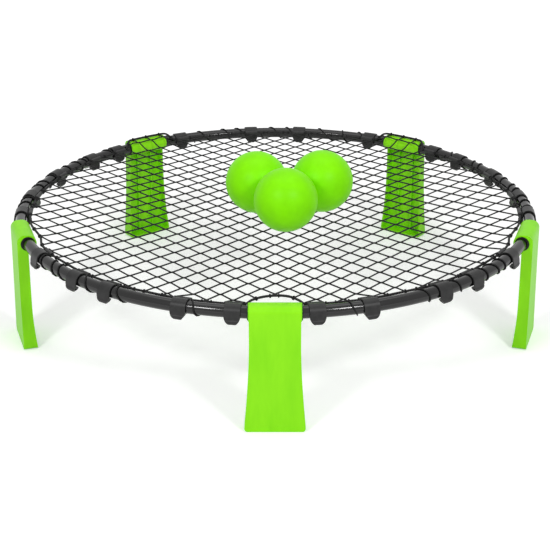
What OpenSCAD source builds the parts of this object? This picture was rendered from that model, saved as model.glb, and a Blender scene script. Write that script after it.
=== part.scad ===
// Roundnet set: a tube rim on five folding legs, a hooked-on net and three balls.
// Origin on the ground under the middle of the rim, +Z up, front leg towards -Y.

/* [Rim] */
// Radius of the rim, to the middle of its tube
rim_r = 446; // [400:1:520]
// Height of the middle of the rim tube above the ground
rim_h = 191; // [150:1:240]
// Outside diameter of the rim tube
tube_d = 20; // [16:0.5:22]
// Wall of the rim tube
tube_wall = 1.2; // [0.8:0.1:2.5]
// Space between the ends of two tubes inside a sleeve
tube_end_gap = 6; // [2:1:12]
// Wall of a joint sleeve at its thinnest
sleeve_wall = 1.2; // [1:0.1:2]
// Length of a sleeve that shows outside each side of a leg
sleeve_out = 1.5; // [0.5:0.5:3]

/* [Leg] */
// Width of a leg at its head, without the collars
leg_head_w = 77.5; // [70:0.5:95]
// Width of a leg across its foot
leg_foot_w = 94.5; // [85:0.5:110]
// Height at which a leg starts to widen towards its foot
waist_h = 150; // [100:1:160]
// How gently the foot widens, as a power of the height
flare_power = 1.7; // [1.2:0.1:2.5]
// Distance of a leg's outer face from the middle of the rim tube, at the ground
leg_out = 20.5; // [19:0.5:26]
// The same distance at the leg's head, so that the leg stands a little splayed
head_out = 17; // [16.5:0.5:19]
// Depth of a leg's side walls
leg_depth = 20; // [16:0.5:26]
// Depth of a leg at the ground
foot_depth = 24.5; // [20:0.5:30]
// Height over which a leg gets deeper towards the ground
foot_flare_h = 75; // [40:1:110]
// Wall of a leg
leg_wall = 3; // [2:0.1:4]
// Radius of a foot's two lower corners
foot_corner_r = 5; // [2:0.5:10]
// Wall of a leg's head round its sleeve
head_wall = 2.4; // [2.2:0.1:3]
// Radius of the rounding over the outer edge of the head
head_round = 12; // [6:0.5:14]
// Height of the collar round each socket
collar_out = 1.3; // [0.8:0.1:3]
// Wall of that collar
collar_wall = 1.8; // [1.5:0.1:2.2]
// Thickness of a stiffening rib inside a leg
rib_t = 2; // [1.5:0.1:3]
// Depth of a stiffening rib
rib_depth = 6; // [4:0.5:9]
// Spacing of the two stiffening ribs
rib_pitch = 30; // [20:0.5:40]

/* [Net] */
// Spacing of the net's cords
net_pitch = 48; // [48:1:80]
// Width of a net cord
net_cord_w = 2.4; // [2:0.1:4]
// Thickness of the net
net_t = 2; // [1.5:0.1:3]
// Height of the net above the middle of the rim tube
net_up = 5; // [4.5:0.5:6]
// Diameter of the border cord
cord_d = 4; // [3:0.5:5]
// Distance of the border cord in from the middle of the rim tube
cord_in = 15; // [14.5:0.5:15.5]

/* [Hooks] */
// Width of a hook along the rim
hook_w = 25; // [20:1:26]
// Thickness of a hook's strap
hook_t = 2.4; // [2:0.1:3]
// Height of the barrels' undersides below the middle of the rim tube
tail_drop = 17.2; // [17:0.1:20]
// Distance of each barrel's middle sideways from the middle of the rim tube
barrel_out = 10.5; // [10:0.1:12]
// Diameter of the barrel at the foot of each plate
barrel_d = 10.4; // [9:0.1:10.6]
// Bore through that barrel
barrel_bore = 4; // [3:0.5:5]
// Length of that barrel along the rim
barrel_w = 10; // [8:1:16]
// Lean of the two plates away from the tube, in degrees
plate_lean = 11; // [9:1:13]
// Wall of the eye that holds the border cord
eye_wall = 1.4; // [1.2:0.1:2]

/* [Balls] */
// Diameter of a ball
ball_d = 108; // [90:1:109]
// Wall of a ball
ball_wall = 2; // [1.5:0.5:5]
// Diameter of a ball's valve
valve_d = 8; // [6:0.5:12]
// Length of a ball's valve
valve_l = 9; // [6:0.5:14]
// Diameter of the flange inside the ball
valve_flange_d = 14; // [12:0.5:20]
// Thickness of that flange
valve_flange_t = 2; // [1:0.5:3]
// Bore of the valve
valve_bore = 1.6; // [1:0.2:3]

/* [Fits] */
// Radial clearance of a leg's bore on its sleeve
hinge_clear = 0.08; // [0.04:0.01:0.1]
// Radial clearance of a tube in a sleeve and of a valve in a ball
push_clear = 0.05; // [0.02:0.01:0.1]
// Clearance of a hook round the tube
hook_clear = 0.3; // [0.1:0.1:0.6]
// Clearance of the border cord in an eye
eye_clear = 0.4; // [0.3:0.1:0.6]
// Clearance between the net's edge and the border cord
net_clear = 0.1; // [0.05:0.05:0.5]
// Clearance between a ball and the net's nearest cord
ball_clear = 0.3; // [0.2:0.1:0.6]

/* [Hidden] */
$fn = 64;
green = "#8CE61E";
ball_green = "#7EE800";
black = "#1C1C1C";
charcoal = "#3A3A3A";

// Legs and arcs go round anticlockwise from the front leg
LEG_NAMES = ["front", "right", "back_right", "back_left", "left"];
ARC_NAMES = ["front_right", "right", "back", "left", "front_left"];
front_deg = 270;
leg_step = 360 / len(LEG_NAMES);
// Angle of each hook from the leg at the start of its arc
HOOK_DEG = [
    [8, 18.5, 35, 44, 58.5],
    [13, 24, 39.5, 53.7, 62.5],
    [10, 29.5, 42.5, 62],
    [9.5, 18.3, 32.5, 48, 59],
    [13.5, 28, 37, 53.5, 64],
];
// Middle of each ball in plan
BALL_NAMES = ["ball_front", "ball_left", "ball_right"];
BALL_XY = [[18, -126.5], [-32, -28.5], [82, -30.5]];
// Direction of each ball's valve: angle in plan, angle above the level
VALVE_DEG = [[75, -35], [140, -30], [40, -40]];

HOOK_LIST = [for (a = [0 : len(ARC_NAMES) - 1]) for (k = [0 : len(HOOK_DEG[a]) - 1])
    [str("hook_", ARC_NAMES[a], "_", k + 1), a, k]];

tube_r = tube_d / 2;
collar_w = leg_head_w + 2 * collar_out;
sleeve_l = collar_w + 2 * sleeve_out;
// The straight sleeve holds curved tubes, so its axis lies in the middle of their bow
tube_bow = pow(sleeve_l / 2, 2) / (2 * rim_r);
hinge_u = -tube_bow / 2;
sleeve_r = tube_r + push_clear + tube_bow / 2 + sleeve_wall;
bore_r = sleeve_r + hinge_clear;
head_r = bore_r + head_wall;
// The head's round runs over its inner side, down to the inner edge of the walls
head_deg = 360 - acos((leg_out - leg_depth - hinge_u) / head_r);
tube_end_deg = atan(tube_end_gap / 2 / rim_r);
cavity_top = rim_h - 0.75 * head_r;
// The hollow reaches this far into the head from below
head_skin = 1;
flare_steps = 12;
arc_step = 10;
corner_steps = 4;
// Cutting shapes reach this far past what they cut
past = 1;
reach = 60;

net_z = rim_h + net_up;
cord_path_r = rim_r - cord_in;
cord_sides = 8;
// The cord lies straight in a hook's eye, so it turns just past the hook's two sides
hook_half_deg = atan((hook_w / 2 + eye_clear) / cord_path_r);
// Where the cord passes a leg: angle from the leg, then outward from and above the middle of the
// tube. It bows in past the front leg, leans on the heads of the side legs and climbs over the back ones
PASS_FRONT = [[-5.8, -18, 5], [-4.6, -34, 5], [-1.5, -48, 5], [2.5, -48, 5], [4.9, -32, 5], [5.8, -18, 5]];
PASS_RIGHT = [[-8, -16.5, 5.5], [-4.4, -22, 6.5], [3, -16.5, 8], [8, -16, 6]];
PASS_BACK = [[-7.3, -14, 6.8], [-5.8, -5.5, 16.8], [-4.6, -1, 17.6],
    [4.6, -1, 17.6], [5.8, -5.5, 16.8], [7.3, -14, 6.8]];
PASS_LEFT = [[-8, -16, 6], [-3, -16.5, 8], [4.4, -22, 6.5], [8, -16.5, 5.5]];
PASSES = [PASS_FRONT, PASS_RIGHT, PASS_BACK, PASS_BACK, PASS_LEFT];
// The cord's route leg by leg, as angle and distances like those above; it runs straight between them
hook_end_u = cord_path_r / cos(hook_half_deg) - rim_r;
ROUTE = [for (i = [0 : len(LEG_NAMES) - 1]) each concat(
    [for (p = PASSES[i]) [leg_deg(i) + p[0], p[1], p[2]]],
    [for (h = HOOK_DEG[i]) for (side = [-1, 1])
        [leg_deg(i) + h + side * hook_half_deg, hook_end_u, net_up]])];
CORD = [for (p = ROUTE) around(p)];
cord_flat = cord_d / 2 * cos(180 / cord_sides);
net_edge = cord_flat + net_clear;
// At a hook the net ends at the eye, which wraps the cord
net_edge_hook = cord_d / 2 + eye_clear + eye_wall + net_clear;
net_lines = ceil(cord_path_r / net_pitch);

hook_r = tube_r + hook_clear;
hook_out_r = hook_r + hook_t;
strap_r = hook_r + hook_t / 2;
eye_r = cord_d / 2 + eye_clear;
// The strap runs over the tube, from just under its outer side to just under its inner side
strap_from = -20;
strap_to = 200;
barrel_z = barrel_d / 2 - tail_drop;
// The plate's middle line passes this far from the middle of the tube, a little inside the strap's
plate_off = strap_r - 0.2 * hook_t;
plate_up = 3;
taper_from = -4;
taper_steps = 6;

ball_r = ball_d / 2;
ball_in_r = ball_r - ball_wall;
valve_r = valve_d / 2;
flange_top = sqrt(pow(ball_in_r, 2) - pow(valve_flange_d / 2, 2)) - ball_clear;

function leg_deg(i) = front_deg + leg_step * i;
function polar(r, a) = [r * cos(a), r * sin(a)];
function unit(v) = v / norm(v);
// A point of the cord's route in space
function around(p) = let (q = polar(rim_r + p[1], p[0])) [q[0], q[1], rim_h + p[2]];
// Half the width of a leg at a height
function half_w(z) = (leg_head_w + (leg_foot_w - leg_head_w)
    * pow(max(0, 1 - z / waist_h), flare_power)) / 2;
// Depth of a leg at a height
function depth(z) = leg_depth + (foot_depth - leg_depth) * pow(max(0, 1 - z / foot_flare_h), 2);

// The net's outline in plan: past a leg it keeps clear of the leg's head
NET_ROUTE = [for (p = ROUTE) polar(rim_r + (p[1] == hook_end_u ? p[1] - net_edge_hook
    : min(p[1], hinge_u - head_r) - net_edge), p[0])];

// How far a point in plan lies from the nearest cord of the net
function off_line(v) = let (q = v / net_pitch - 0.5) abs(q - round(q)) * net_pitch;
function off_cord(p) = max(0, min(off_line((p[1] - p[0]) / sqrt(2)),
    off_line((p[0] + p[1]) / sqrt(2))) - net_cord_w / 2);
// Middle of a ball that lies on the net over a point in plan
function ball_at(p) = [p[0], p[1], net_z + net_t / 2
    + sqrt(pow(ball_r + ball_clear, 2) - pow(off_cord(p), 2))];

// Places children at a leg or hook: x outward from the tube, y along the rim
module at_rim(a) {
    rotate([0, 0, a]) translate([rim_r, 0, 0]) children();
}

// Extrudes a profile drawn in x and z along the rim
module along_rim(w) {
    rotate([90, 0, 0]) linear_extrude(height = w, center = true) children();
}

// Extrudes an outline drawn in y and z outward
module outward() {
    rotate([90, 0, 90]) linear_extrude(height = 2 * reach, center = true) children();
}

// A rod along the rim, centred on the leg
module rod(r, w, u, z) {
    translate([u, 0, z]) rotate([90, 0, 0]) cylinder(h = w, r = r, center = true);
}

// An arc of the rim's circle with a round section
module rim_arc(r, from, to) {
    rotate([0, 0, from]) rotate_extrude(angle = to - from) translate([rim_r, 0]) circle(r);
}

module rim_tube(i) {
    color(black) translate([0, 0, rim_h])
        rotate([0, 0, leg_deg(i) + tube_end_deg])
            rotate_extrude(angle = leg_step - 2 * tube_end_deg)
                translate([rim_r, 0]) difference() {
                    circle(tube_r);
                    circle(tube_r - tube_wall);
                }
}

module sleeve(i) {
    color(charcoal) difference() {
        at_rim(leg_deg(i)) rod(sleeve_r, sleeve_l, hinge_u, rim_h);
        translate([0, 0, rim_h]) for (side = [-1, 1])
            rotate([0, 0, leg_deg(i)]) mirror([0, side < 0 ? 1 : 0, 0])
                rim_arc(tube_r + push_clear, tube_end_deg, leg_step / 4);
    }
}

// Side view of a leg: outer face, foot and the hood over its head
module leg_side() {
    hood = [head_out - head_round, rim_h + head_r - head_round];
    hinge = [hinge_u, rim_h];
    polygon(concat(
        [[leg_out, 0]],
        [for (a = [0 : arc_step : 90]) hood + polar(head_round, a)],
        [for (a = [90 : arc_step : head_deg]) hinge + polar(head_r, a)],
        [for (k = [flare_steps : -1 : 0]) let (z = foot_flare_h * k / flare_steps)
            [leg_out - depth(z), z]]
    ));
}

// Front view of a leg, drawn in by a wall
module leg_front(wall) {
    r = max(foot_corner_r - wall, 1);
    base = wall;
    side = concat(
        [for (k = [0 : corner_steps]) let (a = 90 * k / corner_steps)
            [half_w(base + r) - wall - r * (1 - sin(a)), base + r * (1 - cos(a))]],
        [for (k = [1 : flare_steps]) let (z = base + r + (waist_h - base - r) * k / flare_steps)
            [half_w(z) - wall, z]],
        [[leg_head_w / 2 - wall, rim_h + reach]]
    );
    polygon(concat(side, [for (k = [len(side) - 1 : -1 : 0]) [-side[k][0], side[k][1]]]));
}

// Hollow inside a leg, open towards the middle of the set
module leg_cavity() {
    intersection() {
        along_rim(leg_foot_w) difference() {
            polygon([[-reach, leg_wall], [leg_out - leg_wall, leg_wall],
                [head_out - leg_wall, cavity_top], [-reach, cavity_top]]);
            translate([hinge_u, rim_h]) circle(head_r - head_skin);
        }
        outward() leg_front(leg_wall);
    }
}

// Side view of a rib, from inside the outer wall to the rib's free edge
module leg_rib() {
    low = [leg_out - leg_wall / 2, leg_wall / 2];
    high = [head_out - leg_wall / 2, cavity_top + past];
    polygon([low, high, high - [rib_depth + leg_wall / 2, 0], low - [rib_depth + leg_wall / 2, 0]]);
}

module leg(i) {
    color(green) at_rim(leg_deg(i)) difference() {
        union() {
            difference() {
                intersection() {
                    along_rim(leg_foot_w + past) leg_side();
                    outward() leg_front(0);
                }
                leg_cavity();
            }
            for (side = [-1, 1]) translate([0, side * rib_pitch / 2, 0]) along_rim(rib_t)
                leg_rib();
            for (side = [-1, 1]) translate([0, side * (collar_w - leg_wall) / 2, 0])
                rod(bore_r + collar_wall, leg_wall, hinge_u, rim_h);
        }
        rod(bore_r, collar_w + 2 * past, hinge_u, rim_h);
    }
}

// A straight strip between two points of a profile
module strip(p, q, t) {
    n = [p[1] - q[1], q[0] - p[0]] * t / 2 / norm(q - p);
    polygon([p + n, q + n, q - n, p - n]);
}

// A strap over the tube, an eye for the cord and a plate with a barrel on each side of the tube
module hook_body() {
    eye = [-cord_in, net_up];
    barrel = [barrel_out, barrel_z];
    plate = [cos(plate_lean), sin(plate_lean)] * plate_off;
    down = [sin(plate_lean), -cos(plate_lean)];
    difference() {
        union() {
            difference() {
                along_rim(hook_w) circle(hook_out_r);
                along_rim(2 * hook_w) polygon(concat([[0, 0]],
                    [for (k = [0 : 4]) polar(2 * hook_out_r,
                        strap_to + (360 + strap_from - strap_to) * k / 4)]));
            }
            along_rim(hook_w) translate(eye) circle(eye_r + eye_wall);
            for (side = [0, 1]) mirror([side, 0, 0]) {
                along_rim(hook_w) strip(plate - down * plate_up,
                    plate + down * (plate[1] - barrel_z) / cos(plate_lean), hook_t);
                along_rim(hook_w) translate(barrel) circle(barrel_d / 2);
            }
        }
        along_rim(2 * hook_w) circle(hook_r);
        along_rim(2 * hook_w) translate(eye) circle(eye_r);
        for (side = [0, 1]) mirror([side, 0, 0])
            along_rim(2 * hook_w) translate(barrel) circle(barrel_bore / 2);
    }
}

// Front view of a hook: a shield whose sides round in to the barrel
module hook_front() {
    side = concat([[hook_w / 2, reach]],
        [for (k = [0 : taper_steps]) [barrel_w / 2 + (hook_w - barrel_w) / 2 * cos(90 * k / taper_steps),
            taper_from - (taper_from + tail_drop) * k / taper_steps]],
        [[barrel_w / 2, -reach]]);
    polygon(concat(side, [for (k = [len(side) - 1 : -1 : 0]) [-side[k][0], side[k][1]]]));
}

module hook(arc, k) {
    color(charcoal) at_rim(leg_deg(arc) + HOOK_DEG[arc][k]) translate([0, 0, rim_h])
        intersection() {
            hook_body();
            outward() hook_front();
        }
}

// One ring of the cord's skin, square to the route where it turns
function cord_ring(i) = let (n = len(CORD), here = CORD[i],
    along = unit(unit(here - CORD[(i + n - 1) % n]) + unit(CORD[(i + 1) % n] - here)),
    side = unit(cross(along, [0, 0, 1])), up = cross(side, along))
    [for (j = [0 : cord_sides - 1]) let (b = (j + 0.5) * 360 / cord_sides)
        here + cord_d / 2 * (side * cos(b) + up * sin(b))];

module border_cord() {
    n = cord_sides;
    rings = len(CORD);
    color(black) polyhedron(
        points = [for (i = [0 : rings - 1]) each cord_ring(i)],
        faces = [for (i = [0 : rings - 1]) for (j = [0 : n - 1])
            let (i2 = (i + 1) % rings, j2 = (j + 1) % n)
            each [[i * n + j, i * n + j2, i2 * n + j], [i * n + j2, i2 * n + j2, i2 * n + j]]]
    );
}

module net() {
    long = 2 * rim_r;
    color(black) translate([0, 0, net_z - net_t / 2]) linear_extrude(height = net_t)
        intersection() {
            polygon(NET_ROUTE);
            union() for (turn = [45, 135]) rotate(turn)
                for (k = [-net_lines : net_lines - 1])
                    translate([-long / 2, (k + 0.5) * net_pitch - net_cord_w / 2])
                        square([long, net_cord_w]);
        }
}

// Places children at a ball's valve, with +Z outward
module at_valve(i) {
    translate(ball_at(BALL_XY[i])) rotate([0, 90 - VALVE_DEG[i][1], VALVE_DEG[i][0]]) children();
}

module ball(i) {
    color(ball_green) difference() {
        translate(ball_at(BALL_XY[i])) sphere(ball_r);
        translate(ball_at(BALL_XY[i])) sphere(ball_in_r);
        at_valve(i) cylinder(h = ball_d, r = valve_r + push_clear);
    }
}

module valve(i) {
    color(charcoal) at_valve(i) difference() {
        union() {
            translate([0, 0, ball_r - ball_clear - valve_l]) cylinder(h = valve_l, r = valve_r);
            translate([0, 0, flange_top - valve_flange_t])
                cylinder(h = valve_flange_t, r = valve_flange_d / 2);
        }
        translate([0, 0, ball_r - 2 * valve_l]) cylinder(h = 3 * valve_l, r = valve_bore / 2);
    }
}

for (i = [0 : len(ARC_NAMES) - 1])
    rim_tube(i);
for (i = [0 : len(LEG_NAMES) - 1])
    sleeve(i);
for (i = [0 : len(LEG_NAMES) - 1])
    leg(i);
for (h = HOOK_LIST)
    hook(h[1], h[2]);
border_cord();
net();
for (i = [0 : len(BALL_NAMES) - 1])
    ball(i);
for (i = [0 : len(BALL_NAMES) - 1])
    valve(i);
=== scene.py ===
"""Looks of a roundnet set: a tube rim on five folding legs, a hooked-on net and three balls.

Lengths in the classes are millimetres. Every mesh is made in place, in metres, in the frame of the
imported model: origin on the ground under the middle of the rim, +Z up, front leg towards -Y.
"""

import bisect
import logging
import math
from dataclasses import dataclass, field
from enum import Enum
from typing import Iterable

import bmesh
import bpy
from mathutils import Matrix, Vector


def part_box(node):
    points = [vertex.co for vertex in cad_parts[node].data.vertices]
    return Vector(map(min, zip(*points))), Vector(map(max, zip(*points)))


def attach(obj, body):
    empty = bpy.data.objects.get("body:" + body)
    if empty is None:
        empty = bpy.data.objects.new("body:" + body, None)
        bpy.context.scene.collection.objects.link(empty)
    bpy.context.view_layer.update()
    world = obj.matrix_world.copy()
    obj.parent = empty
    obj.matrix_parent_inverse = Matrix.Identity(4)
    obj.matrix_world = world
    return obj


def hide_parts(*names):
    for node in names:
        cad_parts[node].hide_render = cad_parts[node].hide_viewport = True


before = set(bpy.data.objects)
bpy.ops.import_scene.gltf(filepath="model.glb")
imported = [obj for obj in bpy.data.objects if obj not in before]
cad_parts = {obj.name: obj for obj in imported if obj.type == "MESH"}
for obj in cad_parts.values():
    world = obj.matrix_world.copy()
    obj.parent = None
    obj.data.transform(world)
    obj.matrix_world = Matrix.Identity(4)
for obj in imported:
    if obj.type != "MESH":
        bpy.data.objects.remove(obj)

LOG = logging.getLogger("roundnet")
MM = 0.001
LEG_STEP = 72.0
MERGE_MM = 0.004
FLAT_DEGREES = 0.4
BALL_NODES = ("ball_front", "ball_left", "ball_right")
# A diagonal wave texture of scale 1 turns once in this length
WAVE_TURN = 2 * math.pi / 10


class Leg(Enum):
    """The five legs, each with its angle round the rim in degrees."""

    FRONT = 270.0
    RIGHT = 342.0
    BACK_RIGHT = 54.0
    BACK_LEFT = 126.0
    LEFT = 198.0

    @property
    def label(self) -> str:
        """Name of the leg as the nodes spell it."""
        return self.name.lower()


class Arc(Enum):
    """The five rim arcs, each with the leg that it starts from."""

    FRONT_RIGHT = Leg.FRONT
    RIGHT = Leg.RIGHT
    BACK = Leg.BACK_RIGHT
    LEFT = Leg.BACK_LEFT
    FRONT_LEFT = Leg.LEFT

    @property
    def label(self) -> str:
        """Name of the arc as the nodes spell it."""
        return self.name.lower()


# Where the hooks sit on each arc, in degrees from the leg at its start
HOOK_DEG: dict[Arc, tuple[float, ...]] = {
    Arc.FRONT_RIGHT: (8, 18.5, 35, 44, 58.5),
    Arc.RIGHT: (13, 24, 39.5, 53.7, 62.5),
    Arc.BACK: (10, 29.5, 42.5, 62),
    Arc.LEFT: (9.5, 18.3, 32.5, 48, 59),
    Arc.FRONT_LEFT: (13.5, 28, 37, 53.5, 64),
}

# Where the border cord passes a leg: degrees from the leg, then millimetres outward from and above
# the middle of the tube. It bows in past the front leg, leans on the heads of the side legs and
# climbs over the heads of the back legs.
OVER_HEAD = (
    (-7.3, -14, 6.8), (-5.8, -5.5, 16.8), (-4.6, -1, 17.6),
    (4.6, -1, 17.6), (5.8, -5.5, 16.8), (7.3, -14, 6.8),
)
PASSES: dict[Leg, tuple[tuple[float, float, float], ...]] = {
    Leg.FRONT: (
        (-5.8, -18, 5), (-4.6, -34, 5), (-1.5, -48, 5), (2.5, -48, 5), (4.9, -32, 5), (5.8, -18, 5),
    ),
    Leg.RIGHT: ((-8, -16.5, 5.5), (-4.4, -22, 6.5), (3, -16.5, 8), (8, -16, 6)),
    Leg.BACK_RIGHT: OVER_HEAD,
    Leg.BACK_LEFT: OVER_HEAD,
    Leg.LEFT: ((-8, -16, 6), (-3, -16.5, 8), (4.4, -22, 6.5), (8, -16.5, 5.5)),
}

# Where spare twine is whipped round the tube between two hooks: degrees from the leg at the start
# of the arc where it starts and ends, and its number of turns.
LASHINGS: dict[Arc, tuple[tuple[float, float, int], ...]] = {
    Arc.FRONT_RIGHT: ((14, 16.8, 1), (29.5, 33, 1), (37, 42, 1), (46, 56.5, 3)),
    Arc.RIGHT: ((15, 22, 2), (26, 37.5, 3), (41.5, 51.7, 3), (55.7, 60.5, 1)),
    Arc.BACK: ((12, 27.5, 3), (31.5, 40.5, 2), (44.5, 60, 3)),
    Arc.LEFT: ((11.5, 16.3, 1), (20.3, 30.5, 3), (34.5, 46, 3), (50, 57, 2)),
    Arc.FRONT_LEFT: ((15.5, 26, 3), (30, 35, 1), (39, 42.5, 1), (55.5, 58.3, 1)),
}


@dataclass(frozen=True)
class Hill:
    """Where the net rises to a cord that climbs over a leg's head, in millimetres and degrees."""

    height: float
    foot: float
    crest: float
    flat_deg: float
    wide_deg: float


HILLS: dict[Leg, Hill] = {
    Leg.BACK_RIGHT: Hill(12.6, -50, -2, 5.4, 7.6),
    Leg.BACK_LEFT: Hill(12.6, -50, -2, 5.4, 7.6),
    Leg.RIGHT: Hill(2.5, -40, -17, 4, 9),
    Leg.LEFT: Hill(2.5, -40, -17, 4, 9),
}


def ease(share: float) -> float:
    """Smooth step from 0 to 1.

    Args:
        share: how far along the step, held between 0 and 1.

    Returns:
        The eased share.
    """
    share = min(1.0, max(0.0, share))
    return share * share * (3 - 2 * share)


# ---------------------------------------------------------------- materials


def linear(code: str) -> tuple[float, float, float, float]:
    """Turns an sRGB hex code into a linear colour.

    Args:
        code: colour as "#RRGGBB".

    Returns:
        Red, green, blue and alpha.
    """
    parts = [int(code[i : i + 2], 16) / 255 for i in (1, 3, 5)]
    low = [v / 12.92 if v <= 0.04045 else ((v + 0.055) / 1.055) ** 2.4 for v in parts]
    return (low[0], low[1], low[2], 1.0)


def add_node(
    tree: bpy.types.NodeTree,
    kind: str,
    values: dict[str, object] | None = None,
    links: dict[str, bpy.types.NodeSocket] | None = None,
    **settings: object,
) -> bpy.types.Node:
    """Adds one node to a tree.

    Args:
        tree: the material's node tree.
        kind: Blender's name of the node type.
        values: input name to the value that it is set to.
        links: input name to the output socket that feeds it.
        **settings: properties of the node itself.

    Returns:
        The new node.
    """
    node = tree.nodes.new(kind)
    for name, value in settings.items():
        setattr(node, name, value)
    for name, value in (values or {}).items():
        node.inputs[name].default_value = value
    for name, socket in (links or {}).items():
        tree.links.new(socket, node.inputs[name])
    return node


def blank_material(name: str) -> tuple[bpy.types.Material, bpy.types.NodeTree]:
    """Adds a material without any nodes.

    Args:
        name: name of the material.

    Returns:
        The material and its node tree.
    """
    material = bpy.data.materials.new(name)
    material.use_nodes = True
    material.node_tree.nodes.clear()
    return material, material.node_tree


def per_metre(size_mm: float) -> float:
    """Scale of a pattern for coordinates in metres.

    Args:
        size_mm: how far apart its features are.

    Returns:
        The scale.
    """
    return 1.0 / (size_mm * MM)


def shown_rays(tree: bpy.types.NodeTree) -> bpy.types.NodeSocket:
    """Tells rays that carry a picture from rays that only carry light.

    Args:
        tree: the node tree to add to.

    Returns:
        A socket that is 1 for camera, glossy and transmission rays and 0 for all others.
    """
    path = add_node(tree, "ShaderNodeLightPath")
    shown = path.outputs["Is Camera Ray"]
    for ray in ("Is Glossy Ray", "Is Transmission Ray"):
        either = add_node(tree, "ShaderNodeMath", operation="MAXIMUM")
        tree.links.new(shown, either.inputs[0])
        tree.links.new(path.outputs[ray], either.inputs[1])
        shown = either.outputs[0]
    return shown


@dataclass(frozen=True)
class MouldedPlastic:
    """Injection-moulded thermoplastic: even colour, faint flow streaks, fine spark-eroded grain."""

    name: str
    colour: str
    deep: str
    roughness: float
    specular: float = 0.3
    tone_mm: float = 60.0
    streak: float = 1.0
    grain_mm: float = 0.9
    grain_depth_mm: float = 0.02
    ior: float = 1.49

    def make(self) -> bpy.types.Material:
        """Builds the material.

        Returns:
            The new material.
        """
        material, tree = blank_material(self.name)
        place = add_node(tree, "ShaderNodeTexCoord").outputs["Object"]
        drawn = add_node(
            tree, "ShaderNodeMapping", {"Scale": (1.0, 1.0, 1.0 / self.streak)}, {"Vector": place}
        )
        tone = add_node(
            tree, "ShaderNodeTexNoise",
            {"Scale": per_metre(self.tone_mm), "Detail": 3.0, "Roughness": 0.6},
            {"Vector": drawn.outputs["Vector"]},
        )
        band = add_node(
            tree, "ShaderNodeMapRange", {"From Min": 0.34, "From Max": 0.62},
            {"Value": tone.outputs["Fac"]},
        )
        colour = add_node(
            tree, "ShaderNodeMix", {"A": linear(self.deep), "B": linear(self.colour)},
            {"Factor": band.outputs["Result"]}, data_type="RGBA",
        )
        grain = add_node(
            tree, "ShaderNodeTexNoise",
            {"Scale": per_metre(self.grain_mm), "Detail": 2.0}, {"Vector": place},
        )
        rough = add_node(
            tree, "ShaderNodeMapRange",
            {"To Min": self.roughness - 0.04, "To Max": self.roughness + 0.05},
            {"Value": tone.outputs["Fac"]},
        )
        bump = add_node(
            tree, "ShaderNodeBump",
            {"Strength": 0.35, "Distance": self.grain_depth_mm * MM},
            {"Height": grain.outputs["Fac"]},
        )
        shader = add_node(
            tree, "ShaderNodeBsdfPrincipled",
            {"IOR": self.ior, "Specular IOR Level": self.specular},
            {"Base Color": colour.outputs["Result"], "Roughness": rough.outputs["Result"],
             "Normal": bump.outputs["Normal"]},
        )
        add_node(tree, "ShaderNodeOutputMaterial", links={"Surface": shader.outputs["BSDF"]})
        return material


@dataclass(frozen=True)
class PowderCoat:
    """Gloss black powder coat on steel tube: deep black with a slow orange peel and a little dust."""

    name: str
    colour: str
    roughness: float = 0.12
    specular: float = 0.45
    peel_mm: float = 5.0
    peel_depth_mm: float = 0.012
    dust_mm: float = 35.0

    def make(self) -> bpy.types.Material:
        """Builds the material.

        Returns:
            The new material.
        """
        material, tree = blank_material(self.name)
        place = add_node(tree, "ShaderNodeTexCoord").outputs["Object"]
        peel = add_node(
            tree, "ShaderNodeTexNoise", {"Scale": per_metre(self.peel_mm), "Detail": 1.5},
            {"Vector": place},
        )
        dust = add_node(
            tree, "ShaderNodeTexNoise", {"Scale": per_metre(self.dust_mm), "Detail": 4.0},
            {"Vector": place},
        )
        rough = add_node(
            tree, "ShaderNodeMapRange",
            {"From Min": 0.35, "From Max": 0.75, "To Min": self.roughness,
             "To Max": self.roughness + 0.08},
            {"Value": dust.outputs["Fac"]},
        )
        bump = add_node(
            tree, "ShaderNodeBump", {"Strength": 0.3, "Distance": self.peel_depth_mm * MM},
            {"Height": peel.outputs["Fac"]},
        )
        shader = add_node(
            tree, "ShaderNodeBsdfPrincipled",
            {"Base Color": linear(self.colour), "IOR": 1.5, "Specular IOR Level": self.specular},
            {"Roughness": rough.outputs["Result"], "Normal": bump.outputs["Normal"]},
        )
        add_node(tree, "ShaderNodeOutputMaterial", links={"Surface": shader.outputs["BSDF"]})
        return material


@dataclass(frozen=True)
class NylonCord:
    """Black nylon cord: fine strands, drawn as slanting bands a few millimetres apart; the lighter
    bands are a painted highlight where the strands catch the light.
    """

    name: str
    colour: str
    # colour of the lighter bands: a painted highlight on the strands
    light: str
    strand_mm: float
    roughness: float = 0.62
    specular: float = 0.25

    def make(self) -> bpy.types.Material:
        """Builds the material.

        Returns:
            The new material.
        """
        material, tree = blank_material(self.name)
        place = add_node(tree, "ShaderNodeTexCoord").outputs["Object"]
        strand = add_node(
            tree, "ShaderNodeTexWave",
            {"Scale": per_metre(self.strand_mm) * WAVE_TURN, "Distortion": 1.5, "Detail": 1.0},
            {"Vector": place}, wave_type="BANDS", bands_direction="DIAGONAL",
        )
        # black mixed with painted highlight along the bands; the bump below gives the strands their
        # relief
        colour = add_node(
            tree, "ShaderNodeMix", {"A": linear(self.colour), "B": linear(self.light)},
            {"Factor": strand.outputs["Fac"]}, data_type="RGBA",
        )
        bump = add_node(
            tree, "ShaderNodeBump", {"Strength": 0.5, "Distance": 0.15 * MM},
            {"Height": strand.outputs["Fac"]},
        )
        shader = add_node(
            tree, "ShaderNodeBsdfPrincipled",
            {"Roughness": self.roughness, "IOR": 1.5, "Specular IOR Level": self.specular},
            {"Base Color": colour.outputs["Result"], "Normal": bump.outputs["Normal"]},
        )
        add_node(tree, "ShaderNodeOutputMaterial", links={"Surface": shader.outputs["BSDF"]})
        return material


# ---------------------------------------------------------------- mesh helpers


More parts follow.
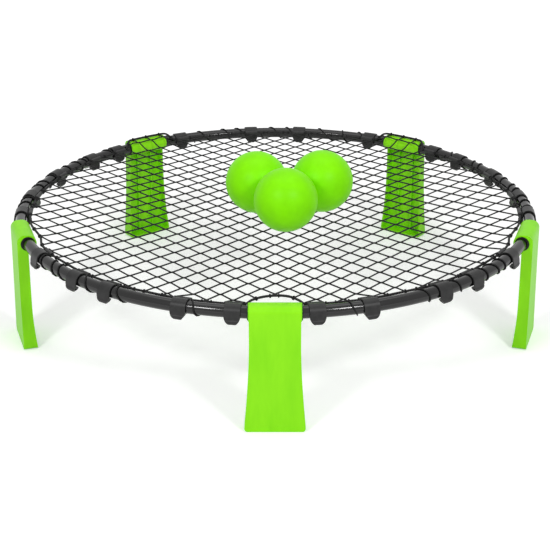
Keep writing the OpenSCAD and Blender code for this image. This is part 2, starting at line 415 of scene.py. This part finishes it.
def arc_frame(degrees: float, radius_mm: float, height_mm: float) -> Matrix:
    """Place on the rim: x outward, y anticlockwise along the rim, z up.

    Args:
        degrees: angle round the rim.
        radius_mm: distance from the rim's axis.
        height_mm: height above the ground.

    Returns:
        Matrix from millimetres at that place to metres in the model's frame.
    """
    turn = Matrix.Rotation(math.radians(degrees), 4, "Z")
    shift = Matrix.Translation((radius_mm * MM, 0.0, height_mm * MM))
    return turn @ shift @ Matrix.Scale(MM, 4)


def finish_mesh(
    bm: bmesh.types.BMesh,
    name: str,
    material: bpy.types.Material,
    sharp_degrees: float = 35.0,
) -> bpy.types.Object:
    """Turns a bmesh into a smooth-shaded object, faces outward, with its sharp edges marked.

    Args:
        bm: the mesh, freed here.
        name: name of the new object.
        material: its material.
        sharp_degrees: edges that bend by more than this stay sharp.

    Returns:
        The new object, at the origin.
    """
    bmesh.ops.recalc_face_normals(bm, faces=bm.faces[:])
    for face in bm.faces:
        face.smooth = True
    limit = math.radians(sharp_degrees)
    for edge in bm.edges:
        edge.smooth = len(edge.link_faces) == 2 and edge.calc_face_angle(0.0) < limit
    mesh = bpy.data.meshes.new(name)
    bm.to_mesh(mesh)
    bm.free()
    mesh.materials.append(material)
    piece = bpy.data.objects.new(name, mesh)
    bpy.context.scene.collection.objects.link(piece)
    return piece


def mount_piece(piece: bpy.types.Object, body: str, node: str) -> None:
    """Makes a piece ride on a body and hides the node that it stands for.

    Args:
        piece: the finished piece.
        body: name of the body that carries it.
        node: name of the node that the piece replaces.
    """
    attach(piece, body)
    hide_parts(node)
    LOG.info("%s rides on %s: %d faces", piece.name, body, len(piece.data.polygons))


def live_bevel(piece: bpy.types.Object, width_mm: float, segments: int, degrees: float) -> None:
    """Rounds a piece's edges with a modifier and evens out the shading of its flats.

    Args:
        piece: the piece.
        width_mm: width of the rounding.
        segments: faces across the rounding.
        degrees: only edges that bend by more than this are rounded.
    """
    bevel = piece.modifiers.new("edge_rounding", "BEVEL")
    bevel.width = width_mm * MM
    bevel.segments = segments
    bevel.limit_method = "ANGLE"
    bevel.angle_limit = math.radians(degrees)
    bevel.harden_normals = True
    bevel.use_clamp_overlap = True


def merged_copy(node: str) -> bmesh.types.BMesh:
    """A node's mesh as one closed mesh of flat faces.

    Args:
        node: name of the node.

    Returns:
        A new bmesh with doubles merged and flat areas dissolved.
    """
    bm = bmesh.new()
    bm.from_mesh(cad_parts[node].data)
    bmesh.ops.remove_doubles(bm, verts=bm.verts[:], dist=MERGE_MM * MM)
    bmesh.ops.dissolve_limit(
        bm, angle_limit=math.radians(FLAT_DEGREES), verts=bm.verts[:], edges=bm.edges[:],
        use_dissolve_boundaries=False,
    )
    return bm


def sweep_closed(
    points: list[Vector], radius_mm: float, sides: int, name: str, material: bpy.types.Material
) -> bpy.types.Object:
    """A round cord along a closed path.

    Args:
        points: the path, in metres.
        radius_mm: radius of the cord.
        sides: faces round it.
        name: name of the piece.
        material: its material.

    Returns:
        The cord as a mesh object.
    """
    curve = bpy.data.curves.new(name, "CURVE")
    curve.dimensions = "3D"
    curve.bevel_depth = radius_mm * MM
    curve.bevel_resolution = max(0, sides // 2 - 2)
    add_line(curve, points, closed=True)
    return curve_to_mesh(curve, name, material)


def add_line(curve: bpy.types.Curve, points: list[Vector], closed: bool) -> None:
    """Adds one line to a curve.

    Args:
        curve: the curve.
        points: the line's points in metres.
        closed: whether it runs back to its start.
    """
    spline = curve.splines.new("POLY")
    spline.points.add(len(points) - 1)
    for slot, point in zip(spline.points, points):
        slot.co = (*point, 1.0)
    spline.use_cyclic_u = closed


def curve_to_mesh(
    curve: bpy.types.Curve, name: str, material: bpy.types.Material
) -> bpy.types.Object:
    """Makes a curve a smooth mesh object of the same name.

    Args:
        curve: the curve, removed here.
        name: name of the piece.
        material: its material.

    Returns:
        The mesh object.
    """
    holder = bpy.data.objects.new(name + "_path", curve)
    bpy.context.scene.collection.objects.link(holder)
    graph = bpy.context.evaluated_depsgraph_get()
    mesh = bpy.data.meshes.new_from_object(holder.evaluated_get(graph))
    bpy.data.objects.remove(holder)
    bpy.data.curves.remove(curve)
    bm = bmesh.new()
    bm.from_mesh(mesh)
    bpy.data.meshes.remove(mesh)
    bmesh.ops.remove_doubles(bm, verts=bm.verts[:], dist=1e-6)
    return finish_mesh(bm, name, material, sharp_degrees=70.0)


# ---------------------------------------------------------------- the set


@dataclass
class Rim:
    """Five arcs of black steel tube and the black joint cores between them."""

    radius: float = 446.0
    height: float = 191.0
    tube_d: float = 20.0
    wall: float = 1.2
    end_gap: float = 6.0
    sides: int = 40
    steps: int = 56

    def build(self, coat: bpy.types.Material, core: bpy.types.Material) -> None:
        """Makes the five tubes and dresses the five cores.

        Args:
            coat: material of the tubes.
            core: material of the joint cores.
        """
        for arc in Arc:
            piece = finish_mesh(self.tube(arc), f"tube_{arc.label}", coat)
            mount_piece(piece, "rim", f"rim_tube_{arc.label}")
        for leg in Leg:
            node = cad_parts[f"sleeve_{leg.label}"]
            node.data.materials.clear()
            node.data.materials.append(core)

    def tube(self, arc: Arc) -> bmesh.types.BMesh:
        """Spins a ring section along one arc.

        Args:
            arc: which of the five.

        Returns:
            The closed hollow tube.
        """
        gap = math.degrees(math.atan(self.end_gap / 2 / self.radius))
        bm = bmesh.new()
        loops = []
        for radius in (self.tube_d / 2, self.tube_d / 2 - self.wall):
            made = bmesh.ops.create_circle(bm, segments=self.sides, radius=radius)
            loops += list({edge for vert in made["verts"] for edge in vert.link_edges})
        bmesh.ops.bridge_loops(bm, edges=loops)
        upright = Matrix.Rotation(math.radians(90), 4, "X")
        bmesh.ops.transform(bm, matrix=upright, verts=bm.verts[:])
        start = arc.value.value + gap
        bmesh.ops.transform(
            bm, matrix=arc_frame(start, self.radius, self.height), verts=bm.verts[:]
        )
        bmesh.ops.spin(
            bm, geom=bm.verts[:] + bm.edges[:] + bm.faces[:], cent=(0, 0, 0), axis=(0, 0, 1),
            angle=math.radians(LEG_STEP - 2 * gap), steps=self.steps, use_merge=False,
        )
        return bm


@dataclass
class LegShell:
    """A ribbed green leg with softly rounded edges."""

    rounding: float = 1.1

    def build(self, plastic: bpy.types.Material) -> None:
        """Makes the five legs.

        Args:
            plastic: material of the legs.
        """
        for leg in Leg:
            node = f"leg_{leg.label}"
            piece = finish_mesh(merged_copy(node), f"shell_{leg.label}", plastic, 25.0)
            live_bevel(piece, self.rounding, 3, 30.0)
            mount_piece(piece, node, node)


@dataclass
class Hook:
    """A clip over the rim tube: strap, eye for the border cord, a shield plate on each side."""

    inner: float = 10.3
    thick: float = 2.4
    width: float = 25.0
    eye: tuple[float, float] = (-15.0, 5.0)
    eye_r: float = 3.8
    eye_bore: float = 2.4
    barrel: tuple[float, float] = (10.5, -12.0)
    barrel_r: float = 5.2
    barrel_bore: float = 2.0
    barrel_w: float = 10.0
    taper_from: float = -4.0
    plate_lean: float = 11.0
    rounding: float = 0.55
    rows: int = 48
    columns: int = 6
    ring_sides: int = 28

    def half_width(self, height: float) -> float:
        """Half the hook's width: a shield whose sides round in to the barrel.

        Args:
            height: height from the tube's middle.

        Returns:
            Half the width there.
        """
        drop = self.taper_from - (self.barrel[1] - self.barrel_r)
        share = min(1.0, max(0.0, (self.taper_from - height) / drop))
        narrow = self.barrel_w / 2
        return narrow + (self.width / 2 - narrow) * math.cos(math.pi / 2 * share)

    def path(self, share: float) -> tuple[float, float]:
        """Middle line of the strap, from the foot of one plate over the tube to the other's.

        Args:
            share: -1 at the foot inside the rim, 0 on top, 1 at the foot outside.

        Returns:
            The point in x and z.
        """
        middle, lean = self.inner + self.thick / 2, math.radians(self.plate_lean)
        bend = (math.pi / 2 - lean) * middle
        start = (middle * math.cos(lean), middle * math.sin(lean))
        plate = (start[1] - self.barrel[1]) / math.cos(lean)
        along = abs(share) * (bend + plate)
        if along < bend:
            angle = math.pi / 2 - along / middle
            x, z = middle * math.cos(angle), middle * math.sin(angle)
        else:
            run = along - bend
            x, z = start[0] + run * math.sin(lean), start[1] - run * math.cos(lean)
        return math.copysign(x, share), z

    def strap(self, bm: bmesh.types.BMesh) -> None:
        """Bends a flat strip along the middle line and gives it its thickness.

        Args:
            bm: the mesh that gets the strap.
        """
        made = bmesh.ops.create_grid(
            bm, x_segments=self.rows, y_segments=self.columns, size=0.5
        )
        for vert in made["verts"]:
            x, z = self.path(vert.co.x * 2)
            vert.co = Vector((x, vert.co.y * 2 * self.half_width(z), z))
        faces = list({face for vert in made["verts"] for face in vert.link_faces})
        bmesh.ops.recalc_face_normals(bm, faces=faces)
        outward = sum(face.normal.dot(face.calc_center_median()) for face in faces)
        if outward < 0:
            bmesh.ops.reverse_faces(bm, faces=faces)
        for vert in made["verts"]:
            vert.normal_update()
        shift = [vert.normal * self.thick / 2 for vert in made["verts"]]
        for vert, step in zip(made["verts"], shift):
            vert.co += step
        bmesh.ops.solidify(bm, geom=faces, thickness=self.thick)

    def ring(
        self, bm: bmesh.types.BMesh, place: tuple[float, float], outer: float, bore: float
    ) -> None:
        """A short tube along the rim, as long at each height as the hook is wide there.

        Args:
            bm: the mesh that gets it.
            place: its x and z.
            outer: outside radius.
            bore: radius of its hole.
        """
        loops, verts = [], []
        for radius in (outer, bore):
            made = bmesh.ops.create_circle(bm, segments=self.ring_sides, radius=radius)
            verts += made["verts"]
            loops += list({edge for vert in made["verts"] for edge in vert.link_edges})
        flat = bmesh.ops.bridge_loops(bm, edges=loops)["faces"]
        upright = Matrix.Translation((place[0], 1.0, place[1])) @ Matrix.Rotation(
            math.radians(90), 4, "X"
        )
        bmesh.ops.transform(bm, matrix=upright, verts=verts)
        grown = bmesh.ops.extrude_face_region(bm, geom=flat)["geom"]
        moved = [item for item in grown if isinstance(item, bmesh.types.BMVert)]
        bmesh.ops.translate(bm, vec=(0, -2.0, 0), verts=moved)
        for vert in verts + moved:
            vert.co.y = math.copysign(self.half_width(vert.co.z), vert.co.y)
        bmesh.ops.reverse_faces(bm, faces=flat)

    def build(self, plastic: bpy.types.Material, rim: Rim) -> None:
        """Makes every hook.

        Args:
            plastic: material of the hooks.
            rim: the rim that they clip on.
        """
        for arc, angles in HOOK_DEG.items():
            for number, angle in enumerate(angles, 1):
                bm = bmesh.new()
                self.strap(bm)
                self.ring(bm, self.eye, self.eye_r, self.eye_bore)
                for side in (-1, 1):
                    place = (side * self.barrel[0], self.barrel[1])
                    self.ring(bm, place, self.barrel_r, self.barrel_bore)
                place = arc_frame(arc.value.value + angle, rim.radius, rim.height)
                bmesh.ops.transform(bm, matrix=place, verts=bm.verts[:])
                piece = finish_mesh(bm, f"clip_{arc.label}_{number}", plastic, 30.0)
                live_bevel(piece, self.rounding, 2, 50.0)
                mount_piece(piece, "rim", f"hook_{arc.label}_{number}")


@dataclass
class NetBed:
    """The net and its border cord: twine knotted in a square mesh, hitched to the cord."""

    rim: Rim
    pitch: float = 28.5
    twine_r: float = 1.25
    knot_run: float = 2.3
    knot_twist: float = 0.55
    slack: float = 2.0
    skew_mm: float = 55.0
    stretch: float = 0.13
    up: float = 5.0
    cord_in: float = 15.0
    cord_r: float = 2.0
    eye_half: float = 12.9
    beside: float = 14.8
    step_back: float = 6.0
    cord_step: float = 4.0
    drape_steps: int = 5
    level_within: float = 0.1
    hitch_corners: int = 8
    turn_corners: int = 12
    halvings: int = 12
    edge: list[tuple[float, Vector]] = field(default_factory=list)
    balls: list[tuple[Vector, float]] = field(default_factory=list)

    def turns(self) -> list[tuple[Vector, bool]]:
        """Where the border cord turns.

        Returns:
            Each point in metres, with whether an eye holds the cord straight from there on.
        """
        inner = self.rim.radius - self.cord_in
        half = math.degrees(math.atan(self.eye_half / inner))
        outward = inner / math.cos(math.radians(half)) - self.rim.radius
        turns = []
        for arc, angles in HOOK_DEG.items():
            stations = [(*place, False) for place in PASSES[arc.value]]
            for angle in angles:
                stations += [(angle + side * half, outward, self.up, side < 0) for side in (-1, 1)]
            for degrees, out, up, held in stations:
                frame_here = arc_frame(arc.value.value + degrees, self.rim.radius, self.rim.height)
                turns.append((frame_here @ Vector((out, 0, up)), held))
        return turns

    def border(self) -> list[Vector]:
        """The border cord's path as a closed line, straight in the eyes and smooth past the legs.

        Returns:
            Points in metres.
        """
        turns = self.turns()
        count = len(turns)
        points = []
        for i, (start, held) in enumerate(turns):
            before, end, after = (turns[(i + k) % count][0] for k in (-1, 1, 2))
            length = (end - start).length
            leave = (end - before).normalized() * length
            arrive = (after - start).normalized() * length
            steps = 2 if held else max(3, round(length / (self.cord_step * MM)))
            for k in range(steps):
                t = k / steps
                if held:
                    points.append(start.lerp(end, t))
                    continue
                points.append(
                    start * (2 * t ** 3 - 3 * t * t + 1) + leave * (t ** 3 - 2 * t * t + t)
                    + end * (3 * t * t - 2 * t ** 3) + arrive * (t ** 3 - t * t)
                )
        return points

    def build(self, cord: bpy.types.Material, twine: bpy.types.Material) -> None:
        """Makes the border cord and the net.

        Args:
            cord: material of the border cord.
            twine: material of the net's twine.
        """
        border = self.border()
        rope = sweep_closed(border, self.cord_r, 10, "border_rope", cord)
        mount_piece(rope, "rim", "border_cord")
        around = [(math.degrees(math.atan2(point.y, point.x)) % 360, point) for point in border]
        self.edge = sorted(around, key=lambda item: item[0])
        boxes = [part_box(name) for name in BALL_NODES]
        self.balls = [((Vector(a) + Vector(b)) / 2, (b[2] - a[2]) / 2) for a, b in boxes]
        mount_piece(self.mesh(twine), "rim", "net")

    def edge_at(self, degrees: float) -> Vector:
        """The point of the border cord at an angle round the rim.

        Args:
            degrees: the angle.

        Returns:
            The point in metres.
        """
        degrees %= 360
        after = bisect.bisect(self.edge, degrees, key=lambda item: item[0]) % len(self.edge)
        (low, start), (high, end) = self.edge[after - 1], self.edge[after]
        span = (high - low) % 360
        return start.lerp(end, ((degrees - low) % 360) / span if span else 0.0)

    def inside(self, place: Vector) -> bool:
        """Whether a point lies inside the border cord, seen from above.

        Args:
            place: the point in metres.

        Returns:
            True if it does.
        """
        border = self.edge_at(math.degrees(math.atan2(place.y, place.x)))
        return place.xy.length < border.xy.length

    def height(self, place: Vector) -> float:
        """Height of the twine's middle over a point in plan.

        It rises to the cord at the heads of the legs, and gives way under the balls.

        Args:
            place: the point in metres; its z isn't read.

        Returns:
            The height in metres.
        """
        x, y = place.x / MM, place.y / MM
        outward = math.hypot(x, y) - self.rim.radius
        angle = math.degrees(math.atan2(y, x))
        up = self.rim.height + self.up
        for leg, hill in HILLS.items():
            off = abs((angle - leg.value + 180) % 360 - 180)
            side = 1 - ease((off - hill.flat_deg) / (hill.wide_deg - hill.flat_deg))
            up += hill.height * side * ease((outward - hill.foot) / (hill.crest - hill.foot))
        for middle, radius in self.balls:
            near = (place.xy - middle.xy).length
            if near < radius:
                under = middle.z - math.sqrt(radius * radius - near * near)
                up = min(up, under / MM - self.twine_r)
        return up * MM

    def knot(self, x: float, y: float) -> Vector:
        """Where a knot really lies, for netting is a little uneven, most of all near its edge.

        Args:
            x: its place in an even net, in millimetres.
            y: the same.

        Returns:
            Its place in metres.
        """
        pull = self.slack * (0.35 + min(1.0, math.hypot(x, y) / self.rim.radius) ** 4)
        side = (x / self.rim.radius) ** 2
        skew = self.skew_mm * side
        place = Vector((
            x * (1 + self.stretch * side) + pull * math.sin(y / 61 + 1.3 * math.sin(x / 47)),
            y + skew + pull * math.sin(x / 53 + 1.7 * math.sin(y / 71)), 0,
        )) * MM
        place.z = self.height(place)
        return place

    def strands(self) -> Iterable[list[Vector]]:
        """The net's twines, each from border to border.

        Yields:
            Points in metres, with each end on the border cord.
        """
        step = self.pitch / math.sqrt(2)
        count = int(self.rim.radius / step) + 2
        run_half, twist = self.knot_run * MM, self.knot_twist * MM
        for family in (1, -1):
            for start in range(-2 * count, 2 * count + 1, 2):
                line = []
                for k in range(-2 * count, 2 * count + 1):
                    knot = self.knot(k * step, family * (start - k) * step + step / 2)
                    line.append(knot + Vector((-run_half, 0, twist * family)))
                    line.append(knot + Vector((run_half, 0, -twist * family)))
                within = [point for point in line if self.inside(point)]
                if len(within) > 2:
                    first, last = line.index(within[0]), line.index(within[-1])
                    head = self.tie(line[first - 1], within[0])
                    tail = self.tie(line[last + 1], within[-1])
                    body = [point for point in within if self.free(point, head[0], tail[0])]
                    yield head + body + tail[::-1]

    def tie(self, outer: Vector, inner: Vector) -> list[Vector]:
        """Where a twine meets the border cord: never in an eye, but beside it.

        Args:
            outer: the twine's first point outside the cord.
            inner: its first point inside.

        Returns:
            The end on the cord, and a point a little further in where the twine rounds an eye.
        """
        for _ in range(self.halvings):
            middle = (outer + inner) / 2
            outer, inner = (outer, middle) if self.inside(middle) else (middle, inner)
        degrees = math.degrees(math.atan2(inner.y, inner.x))
        reach = math.degrees(math.atan(self.beside / (self.rim.radius - self.cord_in)))
        for arc, angles in HOOK_DEG.items():
            for angle in angles:
                eye = arc.value.value + angle
                off = (degrees - eye + 180) % 360 - 180
                if abs(off) < reach:
                    end = self.edge_at(eye + math.copysign(reach, off))
                    rounded = end * (1 - self.step_back * MM / end.xy.length)
                    rounded.z = self.height(rounded)
                    return [end, rounded]
        return [self.edge_at(degrees)]

    def free(self, point: Vector, head: Vector, tail: Vector) -> bool:
        """Whether a knot's point is clear of the border and of its twine's two ends.

        Args:
            point: the knot's point in metres.
            head: the twine's first end.
            tail: its last end.

        Returns:
            True if it is.
        """
        border = self.edge_at(math.degrees(math.atan2(point.y, point.x)))
        room = border.xy.length - point.xy.length
        ends = min((point - head).length, (point - tail).length)
        return room > self.step_back * MM and ends > self.step_back * MM

    def drape(self, strand: list[Vector]) -> list[Vector]:
        """Adds points where the net isn't level, so that the twine follows its height.

        Args:
            strand: points of a twine in metres.

        Returns:
            The same twine with more points.
        """
        level = (self.rim.height + self.up) * MM
        points = strand[:1]
        for start, end in zip(strand, strand[1:]):
            between = [start.lerp(end, k / self.drape_steps) for k in range(1, self.drape_steps)]
            heights = [self.height(point) for point in between]
            if max(abs(height - level) for height in heights) > self.level_within * MM:
                for point, height in zip(between, heights):
                    point.z = height
                points += between
            points.append(end)
        return points

    def hitch(self, end: Vector) -> list[Vector]:
        """The turn of twine that ties a strand to the border cord.

        Args:
            end: the strand's end, on the cord's middle line.

        Returns:
            Points of a closed ring in metres.
        """
        degrees = math.degrees(math.atan2(end.y, end.x))
        along = (self.edge_at(degrees + 0.3) - self.edge_at(degrees - 0.3)).normalized()
        side = along.cross(Vector((0, 0, 1))).normalized()
        top = side.cross(along)
        radius = (self.cord_r + 0.5 * self.twine_r) * MM
        turns = [2 * math.pi * k / self.hitch_corners for k in range(self.hitch_corners)]
        return [end + radius * (side * math.cos(a) + top * math.sin(a)) for a in turns]

    def lashing(self, arc: Arc, start: float, end: float, turns: int) -> list[Vector]:
        """Spare twine that leaves the border cord, winds round the tube and comes back to it.

        Args:
            arc: the arc of the rim.
            start: where it starts, in degrees from the arc's first leg.
            end: where it ends.
            turns: its number of turns.

        Returns:
            Its points in metres.
        """
        corners = self.turn_corners * turns
        rest = self.rim.tube_d / 2 + self.twine_r
        points = [self.edge_at(arc.value.value + start)]
        for k in range(corners + 1):
            share = k / corners
            # unevenly spaced turns, the first from the tube's inner side
            uneven = min(1.0, max(0.0, share + 0.05 * math.sin(3.4 * math.pi * share + start)))
            angle = math.radians(150) - 2 * math.pi * turns * share
            degrees = arc.value.value + start + (end - start) * uneven
            here = arc_frame(degrees, self.rim.radius, self.rim.height)
            points.append(here @ Vector((rest * math.cos(angle), 0, rest * math.sin(angle))))
        return points + [self.edge_at(arc.value.value + end)]

    def mesh(self, twine: bpy.types.Material) -> bpy.types.Object:
        """Makes the net.

        Args:
            twine: material of the twine.

        Returns:
            The net as one mesh object.
        """
        curve = bpy.data.curves.new("net", "CURVE")
        curve.dimensions = "3D"
        curve.bevel_depth = self.twine_r * MM
        curve.bevel_resolution = 1
        curve.use_fill_caps = True
        for strand in self.strands():
            add_line(curve, self.drape(strand), closed=False)
            for end in (strand[0], strand[-1]):
                add_line(curve, self.hitch(end), closed=True)
        for arc, spans in LASHINGS.items():
            for start, end, turns in spans:
                add_line(curve, self.lashing(arc, start, end, turns), closed=False)
        return curve_to_mesh(curve, "net_bed", twine)


@dataclass
class Balls:
    """Three hollow rubber balls with plugged valves."""

    def build(self, rubber: bpy.types.Material, plug: bpy.types.Material) -> None:
        """Dresses the balls and their valves.

        Args:
            rubber: material of the balls.
            plug: material of the valves.
        """
        for name in BALL_NODES:
            for node, material in ((name, rubber), (f"{name}_valve", plug)):
                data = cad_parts[node].data
                data.materials.clear()
                data.materials.append(material)


# ---------------------------------------------------------------- stage


@dataclass
class Studio:
    """Camera, plain pale floor and soft light."""

    distance: float = 2450.0
    elevation: float = 23.33
    target_z: float = 59.1
    focal_px: float = 1344.0
    frame_px: float = 550.0
    sensor_mm: float = 36.0
    floor_half_m: float = 6.0
    floor_gap: float = 0.5
    fill: float = 0.45

    def camera(self) -> None:
        """Places the camera."""
        data = bpy.data.cameras.new("camera")
        data.sensor_width = self.sensor_mm
        data.sensor_fit = "HORIZONTAL"
        data.lens = self.sensor_mm * self.focal_px / self.frame_px
        data.clip_end = 50.0
        camera = bpy.data.objects.new("camera", data)
        bpy.context.scene.collection.objects.link(camera)
        lift = math.radians(self.elevation)
        target = Vector((0, 0, self.target_z * MM))
        back = Vector((0, -math.cos(lift), math.sin(lift))) * self.distance * MM
        camera.location = target + back
        camera.rotation_euler = (-back).to_track_quat("-Z", "Y").to_euler()
        bpy.context.scene.camera = camera

    def lamp(self, name: str, place: tuple[float, float, float], size: tuple[float, float],
             watts: float, aim: tuple[float, float, float] = (0, 0, 0.15)) -> None:
        """Adds one soft rectangular lamp.

        Args:
            name: name of the lamp.
            place: its position in metres.
            size: its width and height in metres.
            watts: its power.
            aim: the point that it faces.
        """
        data = bpy.data.lights.new(name, "AREA")
        data.shape = "RECTANGLE"
        data.size, data.size_y = size
        data.energy = watts
        lamp = bpy.data.objects.new(name, data)
        bpy.context.scene.collection.objects.link(lamp)
        lamp.location = place
        lamp.rotation_euler = (Vector(aim) - Vector(place)).to_track_quat("-Z", "Y").to_euler()

    def lights(self) -> None:
        """Adds two soft boxes in front, a wide lamp overhead and the white surroundings."""
        for name, side, watts in (("soft_box_right", 1, 26.0), ("soft_box_left", -1, 23.0)):
            self.lamp(name, (side * 1.25, -2.1, 1.9), (0.45, 0.4), watts, aim=(0, -0.2, 0.1))
        self.lamp("overhead", (0.0, 0.3, 2.6), (2.2, 1.4), 13.0)
        world = bpy.data.worlds.new("surroundings")
        world.use_nodes = True
        tree = world.node_tree
        tree.nodes.clear()
        white = (1, 1, 1, 1)
        light = add_node(tree, "ShaderNodeBackground", {"Color": white, "Strength": self.fill})
        seen = add_node(tree, "ShaderNodeBackground", {"Color": white, "Strength": 1.0})
        mix = add_node(tree, "ShaderNodeMixShader")
        tree.links.new(shown_rays(tree), mix.inputs[0])
        tree.links.new(light.outputs[0], mix.inputs[1])
        tree.links.new(seen.outputs[0], mix.inputs[2])
        add_node(tree, "ShaderNodeOutputWorld", links={"Surface": mix.outputs[0]})
        bpy.context.scene.world = world

    def floor(self) -> None:
        """Adds the floor, which shows white to the camera and keeps the shadow."""
        bm = bmesh.new()
        bmesh.ops.create_grid(bm, x_segments=1, y_segments=1, size=self.floor_half_m)
        bmesh.ops.translate(bm, vec=(0, 0, -self.floor_gap * MM), verts=bm.verts[:])
        material, tree = blank_material("white_floor")
        shader = add_node(
            tree, "ShaderNodeBsdfPrincipled",
            {"Base Color": linear("#F4F4F4"), "Roughness": 0.9, "Specular IOR Level": 0.1},
        )
        place = add_node(tree, "ShaderNodeTexCoord").outputs["Object"]
        away = add_node(tree, "ShaderNodeVectorMath", operation="LENGTH")
        tree.links.new(place, away.inputs[0])
        # white all the way back, where less lamp light reaches
        lift = add_node(
            tree, "ShaderNodeMapRange",
            {"From Min": 0.5, "From Max": 2.5, "To Min": 0.3, "To Max": 0.85},
            {"Value": away.outputs["Value"]},
        )
        glow = add_node(
            tree, "ShaderNodeEmission", {"Color": (1, 1, 1, 1)}, {"Strength": lift.outputs["Result"]}
        )
        both = add_node(tree, "ShaderNodeAddShader")
        tree.links.new(shader.outputs[0], both.inputs[0])
        tree.links.new(glow.outputs[0], both.inputs[1])
        mix = add_node(tree, "ShaderNodeMixShader")
        tree.links.new(shown_rays(tree), mix.inputs[0])
        tree.links.new(shader.outputs[0], mix.inputs[1])
        tree.links.new(both.outputs[0], mix.inputs[2])
        add_node(tree, "ShaderNodeOutputMaterial", links={"Surface": mix.outputs[0]})
        finish_mesh(bm, "floor", material)


def main() -> None:
    """Builds the scene."""
    logging.basicConfig(level=logging.INFO, format="%(message)s")
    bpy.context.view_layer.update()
    bpy.context.scene.view_settings.view_transform = "Standard"
    studio = Studio()
    studio.camera()
    studio.lights()
    studio.floor()

    # moulded polypropylene: satin lime green with faint streaks down the leg where it flowed
    leg_plastic = MouldedPlastic(
        "moulded_polypropylene_lime", "#8CE412", "#82DC0A", 0.42, specular=0.2, tone_mm=28.0,
        streak=4.0,
    ).make()
    # moulded nylon: charcoal, fine grained, with a soft sheen on its shoulders
    hook_plastic = MouldedPlastic(
        "moulded_nylon_charcoal", "#262626", "#1C1C1C", 0.4, tone_mm=12.0, grain_mm=0.6
    ).make()
    # moulded nylon: nearly black, seen as a thin ring beside each leg
    core_plastic = MouldedPlastic(
        "moulded_nylon_black", "#181818", "#121212", 0.45, specular=0.25, tone_mm=15.0
    ).make()
    # moulded rubber: deep lime green with a soft sheen and a fine matte skin
    rubber = MouldedPlastic(
        "moulded_rubber_lime", "#88F000", "#80E600", 0.42, specular=0.12, tone_mm=45.0,
        grain_depth_mm=0.03,
    ).make()
    # moulded rubber: matte black plug of the valve
    plug = MouldedPlastic(
        "moulded_rubber_black", "#242424", "#1C1C1C", 0.6, specular=0.2, tone_mm=6.0
    ).make()
    # powder coated steel: deep gloss black that shows the lamps as thin white lines
    coat = PowderCoat("powder_coated_steel_black", "#0C0C0C").make()
    # braided nylon: black, with strands a little lighter where they catch the light
    cord = NylonCord("braided_nylon_black", "#080808", "#181818", 2.4).make()
    # twisted nylon: thin black twine, as dark as it can be against the ground, its slightly lighter
    # bands a painted highlight on the strands
    twine = NylonCord("twisted_nylon_black", "#060606", "#101010", 1.2).make()

    rim = Rim()
    rim.build(coat, core_plastic)
    LegShell().build(leg_plastic)
    Hook().build(hook_plastic, rim)
    NetBed(rim).build(cord, twine)
    Balls().build(rubber, plug)


if __name__ == "__main__":
    main()
